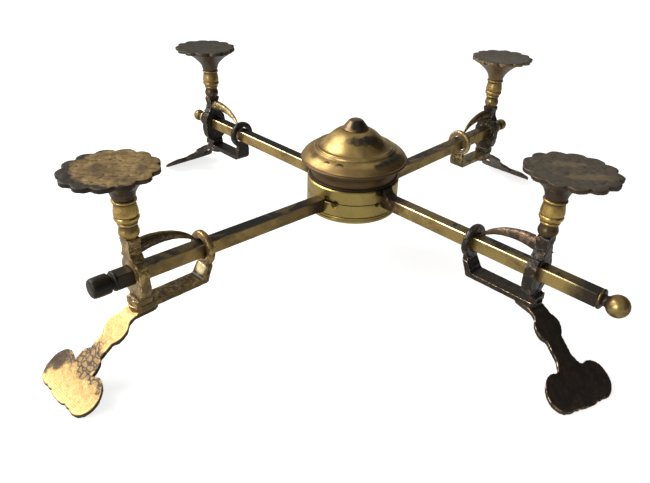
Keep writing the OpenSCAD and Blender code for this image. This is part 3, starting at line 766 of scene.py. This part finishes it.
rest_looks = {
    "near_left": rest_brass("near_left", (0.60, 0.415, 0.18, 1), (0.15, 0.095, 0.04, 1),
                            0.4, 0.1, 0.97, 0.2, streaks=0.7, slip=(2.5, 1.5, 0)),
    "near_right": rest_brass("near_right", (0.38, 0.29, 0.16, 1), (0.14, 0.11, 0.08, 1),
                             0.8, 0.15, 0.5, 0.4, streaks=0.5, trumpet=(0.075, 0.052, 0.036, 1)),
    "far_right": rest_brass("far_right", (0.26, 0.21, 0.13, 1), (0.12, 0.10, 0.075, 1),
                            0.8, 0.15, 0.5, 0.6, streaks=0.5, trumpet=(0.24, 0.17, 0.085, 1)),
    "far_left": rest_brass("far_left", (0.24, 0.19, 0.12, 1), (0.10, 0.085, 0.065, 1),
                           0.8, 0.2, 0.6, 0.8, streaks=0.5, trumpet=(0.10, 0.075, 0.052, 1)),
}
middle = polar(AXIS["near_right"], POST_R["near_right"] + REST_OUT, REST_TOP)
for slip, size in (((-1, 7, 0), (0.009, 0.003, 0.01)), ((5, -6, 0), (0.012, 0.003, 0.01))):
    stain(rest_looks["near_right"], middle + Vector(slip) * MM, size, (0.44, 0.32, 0.16, 1),
          strength=0.35, ragged=2.0, grain=200.0, rough=0.42)

# %% [markdown]
# ### Feet
# Two feet are nearly black from wax and dust, and the far right one is brown. The near left one has been
# scoured back to bright yellow metal, all but its left ear and a band across its ankle, where a net of cut
# marks has kept the dirt.

# %% Foot finishes
gold_foot_look = brass("gold_foot_brass", gold=(0.72, 0.50, 0.21, 1), brown=(0.45, 0.29, 0.12, 1),
                       brown_cover=0.2, black_cover=0.0, scale=130.0, rough=0.5, bump=0.25, wear=0.2,
                       hollow=0.5)
tree = gold_foot_look["tree"]
out_from_post = maths(tree, "SUBTRACT", hub_distance(tree), POST_R["near_left"])
wobble = maths(tree, "MULTIPLY_ADD", noise(tree, place(tree), 130.0, detail=6), 0.016, out_from_post)
ankle = times(tree, ease(tree, wobble, 0.0275, 0.030),
              flip(tree, ease(tree, wobble, 0.0400, 0.0425)))
cuts = use(tree, CRACKLE, Scale=380.0, Width=0.2)
grime = use(tree, BLOTCHES, Scale=240.0, Cover=0.9, Softness=0.12)
cover(gold_foot_look, times(tree, times(tree, ankle, grime), 0.75), (0.20, 0.13, 0.07, 1),
      rough=0.42)
cover(gold_foot_look, times(tree, ankle, cuts), (0.06, 0.045, 0.04, 1), rough=0.5, metallic=0.6, depth=1.0)
for bearing, reach, size in ((-6.4, 0.1742, 0.0070), (-4.6, 0.1700, 0.0056), (-7.0, 0.1795, 0.0050)):
    stain(gold_foot_look, polar(AXIS["near_left"] + bearing, reach, 0.006), (size, size, 0.02),
          (0.05, 0.035, 0.024, 1), strength=0.92, ragged=1.2, grain=230.0, rough=0.48, metallic=0.6)
side_dark = flip(tree, ease(tree, facing_up(tree), 0.1, 0.45))
cover(gold_foot_look, times(tree, side_dark, 0.92), (0.03, 0.024, 0.016, 1), rough=0.45, metallic=0.6)
nick = use(tree, PITS, Scale=380.0, Cover=0.34)
cover(gold_foot_look, nick, (0.20, 0.12, 0.05, 1), rough=0.45, depth=0.8)
foot_settings = {"pits": 0.2, "scale": 120.0, "bump": 0.25, "wear": 0.5}
dark_foot_look = casting("dark_foot_brass", (0.16, 0.11, 0.072, 1), (0.072, 0.051, 0.038, 1), 1.1, 0.45, 0.9,
                         film_rough=0.45, glints=0.8, **foot_settings)
brown_foot_look = casting("brown_foot_brass", (0.30, 0.20, 0.11, 1), (0.15, 0.10, 0.065, 1), 0.9, 0.25, 0.7,
                          film_rough=0.4, glints=0.6, **foot_settings)

# %% Wick
cotton = bpy.data.materials.new("wick_cotton")
cotton.use_nodes = True
tree = cotton.node_tree
shader = tree.nodes["Principled BSDF"]
strands = tree.nodes.new("ShaderNodeTexWave")
strands.inputs["Scale"].default_value = 700
strands.inputs["Distortion"].default_value = 2
plug(tree, place(tree), strands.inputs["Vector"])
charred = ease(tree, noise(tree, place(tree), 300.0), 0.5, 0.7)
plug(tree, blend_colours(tree, charred, (0.72, 0.66, 0.52, 1), (0.45, 0.38, 0.28, 1)),
     shader.inputs["Base Color"])
shader.inputs["Roughness"].default_value = 0.9
weave = tree.nodes.new("ShaderNodeBump")
weave.inputs["Distance"].default_value = 0.2 * MM
plug(tree, strands.outputs["Fac"], weave.inputs["Height"])
plug(tree, weave.outputs["Normal"], shader.inputs["Normal"])
print("finishes", len(bpy.data.materials))

# %% [markdown]
# ## Measuring wear on a mesh
# Blender's Dirty Vertex Colors tool looks at how a surface bends round each point: ridges come out light and
# hollows dark. It is made for painters, but it is also the quickest honest measure of where a hand would
# rub. The two helpers below turn it into the `wear` and `hollow` attributes that the finishes read.

# %% Edit helpers
def only(piece):
    """Selects one object, and makes it active."""
    bpy.ops.object.select_all(action="DESELECT")
    piece.select_set(True)
    bpy.context.view_layer.objects.active = piece


def measure_wear(piece):
    """Writes the wear and hollow attributes from the Dirty Vertex Colors tool."""
    only(piece)
    mesh = piece.data
    mesh.color_attributes.new("dirt", "FLOAT_COLOR", "POINT")
    bpy.ops.object.mode_set(mode="VERTEX_PAINT")
    bpy.ops.paint.vertex_color_dirt(blur_strength=1, blur_iterations=3, clean_angle=math.pi, dirt_angle=0)
    bpy.ops.object.mode_set(mode="OBJECT")
    shade = np.zeros(len(mesh.vertices) * 4, np.float32)
    mesh.color_attributes["dirt"].data.foreach_get("color", shade)
    shade = shade.reshape(-1, 4)[:, 0]
    low, middle, high = np.percentile(shade, (2, 50, 98))
    wear = np.clip((shade - middle) / max(high - middle, 1e-4), 0, 1)
    hollow = np.clip((middle - shade) / max(middle - low, 1e-4), 0, 1)
    mesh.color_attributes.remove(mesh.color_attributes["dirt"])
    for name, values in (("wear", wear), ("hollow", hollow)):
        mesh.attributes.new(name, "FLOAT", "POINT").data.foreach_set("value", values.astype(np.float32))


def finish_piece(piece, node, look):
    """Gives a new piece its finish, and hangs it in the place of its CAD node."""
    piece.data.materials.clear()
    piece.data.materials.append(look["material"])
    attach(piece, frame["nodes"][node]["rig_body"])
    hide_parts(node)


# %% [markdown]
# ## Cast pieces
# A casting has no sharp corner anywhere: the sand, the file and then years of polish have rounded them. To
# bevel every edge of a stirrup by hand would take an hour and still look machined. A voxel remesh followed
# by a few rounds of smoothing rounds all of them at once, and a faint cloud of displacement takes the last
# of the flatness away. The piece starts as a copy of its CAD node, merged first, so it can't drift from
# the sizes that the joints need.

# %% Cast a CAD node
sand_grain = bpy.data.textures.new("sand_mould", "CLOUDS")
sand_grain.noise_scale = 3.2 * MM
sand_grain.noise_depth = 2
HOLE_CORNER = 5.1  # from the bar's axis to a corner of the bracket's hole, in mm
FADE = 1.2


def apply_all(piece):
    """Applies a piece's modifiers in order."""
    only(piece)
    for modifier in list(piece.modifiers):
        bpy.ops.object.modifier_apply(modifier=modifier.name)


def corner_of(node):
    """The arm that a node belongs to."""
    return "_".join(node.split("_")[:2])


def clear_of_bar(piece, corner):
    """A vertex group that leaves out the faces round the bar, so that the sand can't narrow the fit."""
    mesh = piece.data
    points = np.zeros(len(mesh.vertices) * 3, np.float32)
    mesh.vertices.foreach_get("co", points)
    points = points.reshape(-1, 3)
    along = np.array(SLIDES[corner])
    post = np.array(post_base(corner))
    offset = points - post
    off_axis = np.linalg.norm(offset - np.outer(offset @ along, along), axis=1)
    weights = np.clip((off_axis / MM - HOLE_CORNER) / FADE, 0, 1)
    group = piece.vertex_groups.new(name="rough")
    for step in range(11):
        near = np.where(np.round(weights * 10) == step)[0].tolist()
        if near:
            group.add(near, step / 10, "REPLACE")
    return group.name


def sink_root(piece, corner, axis, at, move):
    """Moves the face at a height or a distance from the post by move, into the piece that it stands on."""
    way = Vector((0, 0, 1)) if axis == "up" else polar(AXIS[corner])
    only(piece)
    bpy.ops.object.mode_set(mode="EDIT")
    bpy.ops.mesh.select_mode(type="VERT")
    bpy.ops.mesh.select_all(action="DESELECT")
    bpy.ops.object.mode_set(mode="OBJECT")
    for vertex in piece.data.vertices:
        vertex.select = abs((vertex.co - post_base(corner)).dot(way) / MM - at) < 0.03
    bpy.ops.object.mode_set(mode="EDIT")
    bpy.ops.transform.translate(value=way * move * MM)
    bpy.ops.object.mode_set(mode="OBJECT")


def cast(node, voxel, rounds, lumps, near_bar, root):
    """A softened, slightly uneven copy of a CAD node. voxel and lumps are in mm."""
    source = frame["nodes"][node]
    piece = bpy.data.objects.new(node + "_cast", source.data.copy())
    bpy.context.scene.collection.objects.link(piece)
    only(piece)
    bpy.ops.object.mode_set(mode="EDIT")
    bpy.ops.mesh.select_all(action="SELECT")
    bpy.ops.mesh.remove_doubles(threshold=0.001 * MM)
    bpy.ops.object.mode_set(mode="OBJECT")
    if root:
        sink_root(piece, corner_of(node), *root)
    skin = piece.modifiers.new("skin", "REMESH")
    skin.mode = "VOXEL"
    skin.voxel_size = voxel * MM
    soft = piece.modifiers.new("soft", "SMOOTH")
    soft.factor = 0.5
    soft.iterations = rounds
    apply_all(piece)
    sand = piece.modifiers.new("sand", "DISPLACE")
    sand.texture = sand_grain
    sand.texture_coords = "LOCAL"
    sand.mid_level = 0.9
    sand.strength = lumps * MM
    if near_bar:
        sand.vertex_group = clear_of_bar(piece, corner_of(node))
    apply_all(piece)
    bpy.ops.object.shade_smooth()
    measure_wear(piece)
    return piece


# %% [markdown]
# The four brackets were cast from shared patterns, so a pattern is worked up once and copied to the other
# arms. The two near straps and spurs are a longer pair than the far ones, and a stirrup's hole is tipped
# on the lower pair of arms, which rise a little. A copy is turned round the hub and moved along its arm,
# and then its turn and its move are applied, which leaves its object at the origin.

# %% Copy a piece to another arm
SLIDES = {j["child"][:-len("_bracket")]: Vector(j["axis"]).normalized()
          for j in frame["joints"] if j["name"].endswith("_slide")}


def copy_piece(piece, name, here, turn, there):
    """A copy of a piece, turned about the point here and then carried from here to there."""
    twin = bpy.data.objects.new(name, piece.data.copy())
    bpy.context.scene.collection.objects.link(twin)
    twin.matrix_world = Matrix.Translation(there) @ turn @ Matrix.Translation(-here)
    only(twin)
    bpy.ops.object.transform_apply(location=True, rotation=True, scale=True)
    return twin


def copy_to_arm(piece, name, here, there):
    """A copy of a piece, moved from the post of one arm to the post of another."""
    spin = Matrix.Rotation(math.radians(AXIS[there] - AXIS[here]), 4, "Z")
    return copy_piece(piece, name, post_base(here), spin, post_base(there))


# %% [markdown]
# Softening draws a casting's faces in by a few tenths of a millimetre, which would open a gap at each seam.
# So the face that a piece stands on is first moved a little way into its neighbour, as a brazed joint's
# filler would hide it.

# %% Patterns: piece, whose casting each arm copies, finishes, voxel, smoothing rounds, sand, round the bar
ALL_ALIKE = {corner: "near_left" for corner in AXIS}
EACH_OWN = {corner: corner for corner in AXIS}
BY_DISTANCE = {**EACH_OWN, "near_right": "near_left", "far_left": "far_right"}
BY_PAIR = {**EACH_OWN, "far_right": "near_left", "far_left": "near_right"}
FEET = {**EACH_OWN, "far_left": "far_right"}
foot_looks = dict.fromkeys(AXIS, dark_foot_look)
foot_looks["near_left"] = gold_foot_look
foot_looks["far_right"] = brown_foot_look
ROOTS = {"stirrup": ("up", -15, -1.0), "guide_ring": ("up", -9.5, -1.0), "horn": ("along", -3.2, 1.3),
         "foot": ("up", -18, 0.5)}
PATTERNS = [
    ("stirrup", BY_PAIR, casting_looks, 0.28, 16, 0.9, True),
    ("guide_ring", EACH_OWN, ring_looks, 0.25, 6, 0.3, True),
    ("strap", BY_DISTANCE, strap_looks, 0.3, 9, 0.3, False),
    ("horn", BY_DISTANCE, spur_looks, 0.25, 5, 0.25, False),
    ("foot", FEET, foot_looks, 0.4, 4, 0.3, False),
    ("dish_rest", ALL_ALIKE, rest_looks, 0.4, 3, 0.4, False),
    ("foot_rivet", ALL_ALIKE, casting_looks, 0.15, 4, 0.05, False),
]

# %% Cast the brackets
for kind, alike, looks, voxel, rounds, lumps, near_bar in PATTERNS:
    made = {}
    for corner in AXIS:
        if alike[corner] == corner:
            made[corner] = cast(corner + "_" + kind, voxel, rounds, lumps, near_bar, ROOTS.get(kind))
    for corner in AXIS:
        node = corner + "_" + kind
        if corner not in made:
            made[corner] = copy_to_arm(made[alike[corner]], node + "_cast", alike[corner], corner)
        finish_piece(made[corner], node, looks[corner])
    print(kind, "patterns", len(set(alike.values())), "faces", len(made["near_left"].data.polygons))

# %% [markdown]
# ## Turned pieces
# The lid, the knob, the balusters and the end balls come off a lathe. In Blender a lathe is the Spin tool:
# one vertex is extruded from point to point down the profile, and the chain is spun round its axis. A
# Subdivision Surface then makes the few points of the profile into a fair curve, and where the profile has
# two points close together, the curve keeps a crisp edge.

# %% A lathe
def turned(name, profile, centre, axis=(0, 0, 1), steps=48, levels=2):
    """Spins a profile of (radius, height) in mm round an axis through centre, and smooths it."""
    axis = Vector(axis)
    swing = axis.to_track_quat("Z", "Y").to_matrix()
    points = [Vector(centre) + swing @ Vector((r * MM, 0, z * MM)) for r, z in profile]
    bpy.ops.object.select_all(action="DESELECT")
    bpy.ops.mesh.primitive_plane_add(size=MM, location=(0, 0, 0))
    piece = bpy.context.object
    piece.name = name
    bpy.ops.object.mode_set(mode="EDIT")
    bpy.ops.mesh.select_all(action="SELECT")
    bpy.ops.mesh.merge(type="CENTER")
    bpy.ops.transform.translate(value=points[0])
    for here, there in zip(points, points[1:]):
        bpy.ops.mesh.extrude_region_move(TRANSFORM_OT_translate={"value": there - here})
    bpy.ops.mesh.select_all(action="SELECT")
    bpy.ops.mesh.spin(steps=steps, angle=math.tau, center=centre, axis=axis)
    bpy.ops.mesh.select_all(action="SELECT")
    bpy.ops.mesh.remove_doubles(threshold=0.004 * MM)
    bpy.ops.mesh.normals_make_consistent(inside=False)
    bpy.ops.object.mode_set(mode="OBJECT")
    fair = piece.modifiers.new("fair", "SUBSURF")
    fair.levels = levels
    fair.render_levels = levels
    apply_all(piece)
    bpy.ops.object.shade_smooth()
    measure_wear(piece)
    return piece


# %% [markdown]
# ### Lid
# The lid is a thin shell, so its profile is a closed loop: down the outside from the knob's seat over the
# bell, the two ridges, the swelling shoulder and the rolled rim, then back up the inside.

# %% Lid
LID_OUTSIDE = [(1.55, 33.5), (7.2, 33.5), (7.6, 33.45), (9.2, 32.9), (11.6, 31.55), (14.7, 28.7), (17.0, 25.95),
               (18.9, 24.5), (19.9, 24.2), (20.2, 24.35), (20.6, 24.35), (20.8, 24.0), (21.1, 23.95),
               (21.3, 24.2), (21.8, 24.15), (22.0, 23.6), (22.3, 22.9), (24.7, 22.1), (27.0, 20.6),
               (28.6, 18.8), (28.95, 18.0), (28.7, 17.75), (29.3, 17.6), (29.5, 17.1), (29.3, 16.55),
               (28.7, 16.36)]
LID_INSIDE = [(27.6, 16.35), (27.4, 16.6), (27.4, 17.6), (26.3, 19.1), (23.4, 20.6), (21, 20.7), (20, 22.4),
              (18.4, 23.1), (15.6, 24.8), (13.1, 27.6), (10.1, 30.5), (8, 31.9), (6.5, 32.2), (1.7, 32.2),
              (1.55, 32.4), (1.55, 33.5)]
lid = turned("lid_turned", LID_OUTSIDE + LID_INSIDE, HUB, steps=64)
finish_piece(lid, "lid", lid_look)

# %% Knob
KNOB = [(0, 29.9), (1.4, 29.9), (1.5, 30.0), (1.5, 33.4), (1.6, 33.5), (6.9, 33.5), (7.2, 33.6), (7.25, 33.95),
        (6.95, 34.3), (6.3, 35.1), (5.3, 36.4), (4.4, 37.6), (3.6, 38.4), (2.9, 38.75), (1.5, 38.9), (0, 38.9)]
knob = turned("lid_knob_turned", KNOB, HUB, steps=32)
finish_piece(knob, "lid_knob", knob_look)

# %% [markdown]
# ### Balusters
# All four posts are one pattern: a bulb, a waist, a small bead, a vase with two beads at its foot, and a
# thin ring under the rest. It is turned once and copied to the other arms.

# %% Balusters
BALUSTER = [(0, 17.2), (2.9, 17.2), (3.2, 18.2), (3.7, 18.5), (4.45, 19.9), (4.55, 20.9), (4.35, 21.9),
            (3.95, 22.9), (3.8, 23.9), (3.85, 24.35), (4.3, 24.5), (4.45, 24.95), (4.3, 25.45), (4.15, 25.6),
            (4.3, 25.75), (4.85, 26.3), (5.35, 27.1), (5.4, 27.7), (5.2, 28.35), (4.95, 28.6), (5.0, 28.8),
            (5.25, 29.1), (5.3, 29.9), (5.1, 31.5), (4.75, 33.2), (4.6, 34.4), (4.65, 34.85), (5.15, 34.95),
            (5.35, 35.35), (5.25, 35.85), (4.8, 36.1), (4.3, 36.4), (4.1, 37.4), (2.5, 37.6), (2.5, 41.6),
            (0, 41.7)]
first_post = turned("near_left_post_turned", BALUSTER, post_base("near_left"), steps=24)
for corner in AXIS:
    post = first_post if corner == "near_left" else copy_to_arm(
        first_post, corner + "_post_turned", "near_left", corner)
    finish_piece(post, corner + "_post", post_looks[corner])

# %% [markdown]
# ### Bar ends
# Three bars end in a ball on a short neck. The fourth lost its ball long ago, and has a plain dark button.

# %% Bar ends
BAR_END = 144.5  # the radius where a bar stops, in mm
BALL_AT = 152.5


def ball_profile(radius, bead):
    """Neck bead and ball, from the end of the bar outward, in mm along the bar."""
    neck = 2.5
    opening = math.acos(neck / radius)
    arc = [(radius * math.cos(t), BALL_AT + radius * math.sin(t))
           for t in [-opening + (math.pi / 2 + opening) * i / 9 for i in range(9)]]
    return ([(0, BAR_END), (bead - 0.9, BAR_END), (bead - 0.2, BAR_END + 0.4), (bead, BAR_END + 1.1),
             (bead - 0.3, BAR_END + 1.8), (neck + 0.3, BAR_END + 2.2), (neck, BAR_END + 2.4)]
            + arc + [(0, BALL_AT + radius)])


BUTTON = [(0, BAR_END), (4.0, BAR_END), (4.6, 144.8), (4.7, 145.4), (4.3, 146.0), (3.5, 146.4), (3.4, 146.9),
          (3.7, 147.3), (4.5, 147.6), (4.65, 148.1), (4.65, 154.2), (4.2, 155.3), (3.3, 155.8), (0, 155.9)]
end_looks = {
    "near_left": brass("button_brass", gold=(0.16, 0.13, 0.09, 1), brown=(0.04, 0.034, 0.028, 1),
                       brown_cover=1.2, black_cover=0.9, scale=140.0, rough=0.4, film_rough=0.45, wear=0.4),
    "near_right": brass("ball_brass", gold=(0.46, 0.34, 0.13, 1), brown_cover=0.5, black_cover=0.06,
                        scale=150.0, rough=0.3, shift=0.5, bump=0.2, hollow=1.3),
    "far_right": brass("far_ball_brass", gold=(0.48, 0.36, 0.14, 1), brown_cover=0.5, black_cover=0.1,
                       scale=150.0, rough=0.3, shift=0.7, bump=0.2, hollow=1.3),
}
end_looks["far_left"] = end_looks["far_right"]
stain(end_looks["near_right"], round_hub(BAR_END + 1, AXIS["near_right"], 0), 0.0078, (0.07, 0.048, 0.03, 1),
      strength=0.8, ragged=1.2, grain=400.0, rough=0.32)


def on_arm(corner):
    """The point on a bar's axis that its end's profile is measured from."""
    return post_base(corner) - SLIDES[corner] * POST_R[corner]


ends = {}
for corner, profile in (("near_left", BUTTON), ("near_right", ball_profile(5.1, 4.8)),
                        ("far_right", ball_profile(3.9, 4.3))):
    ends[corner] = turned(corner + "_finial_turned", profile, on_arm(corner), axis=SLIDES[corner], steps=24)
turn = SLIDES["far_right"].rotation_difference(SLIDES["far_left"]).to_matrix().to_4x4()
ends["far_left"] = copy_piece(ends["far_right"], "far_left_finial_turned", on_arm("far_right"), turn,
                              on_arm("far_left"))
for corner, end in ends.items():
    finish_piece(end, corner + "_finial", end_looks[corner])

# %% [markdown]
# ## Finishes on the pieces that stay as packed
# The collars, the bars and the inside of the lamp are plain machined shapes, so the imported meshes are
# right as they are, and only need their metal.

# %% Finishes on CAD nodes
STAY = {"lower_collar": collar_look, "upper_collar": collar_look, "lamp_bowl": collar_look,
        "retaining_ring": cove_look, "lamp_base_plate": cove_look, "burner_plate": inner_look,
        "wick_tube": inner_look, "lid_seat_ring": inner_look, "lid_knob_nut": inner_look,
        "wick": {"material": cotton}}
STAY.update({corner + "_bar": bar_looks[corner] for corner in AXIS})
for node, look in STAY.items():
    mesh = frame["nodes"][node].data
    mesh.materials.clear()
    mesh.materials.append(look["material"])
left_plain = [n for n, o in frame["nodes"].items() if not o.hide_render and n not in STAY]
print("packed pieces kept", len(STAY), "without a finish", left_plain)

# %% Size and the end
low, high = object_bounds()
print("visual box", tuple(low), tuple(high))
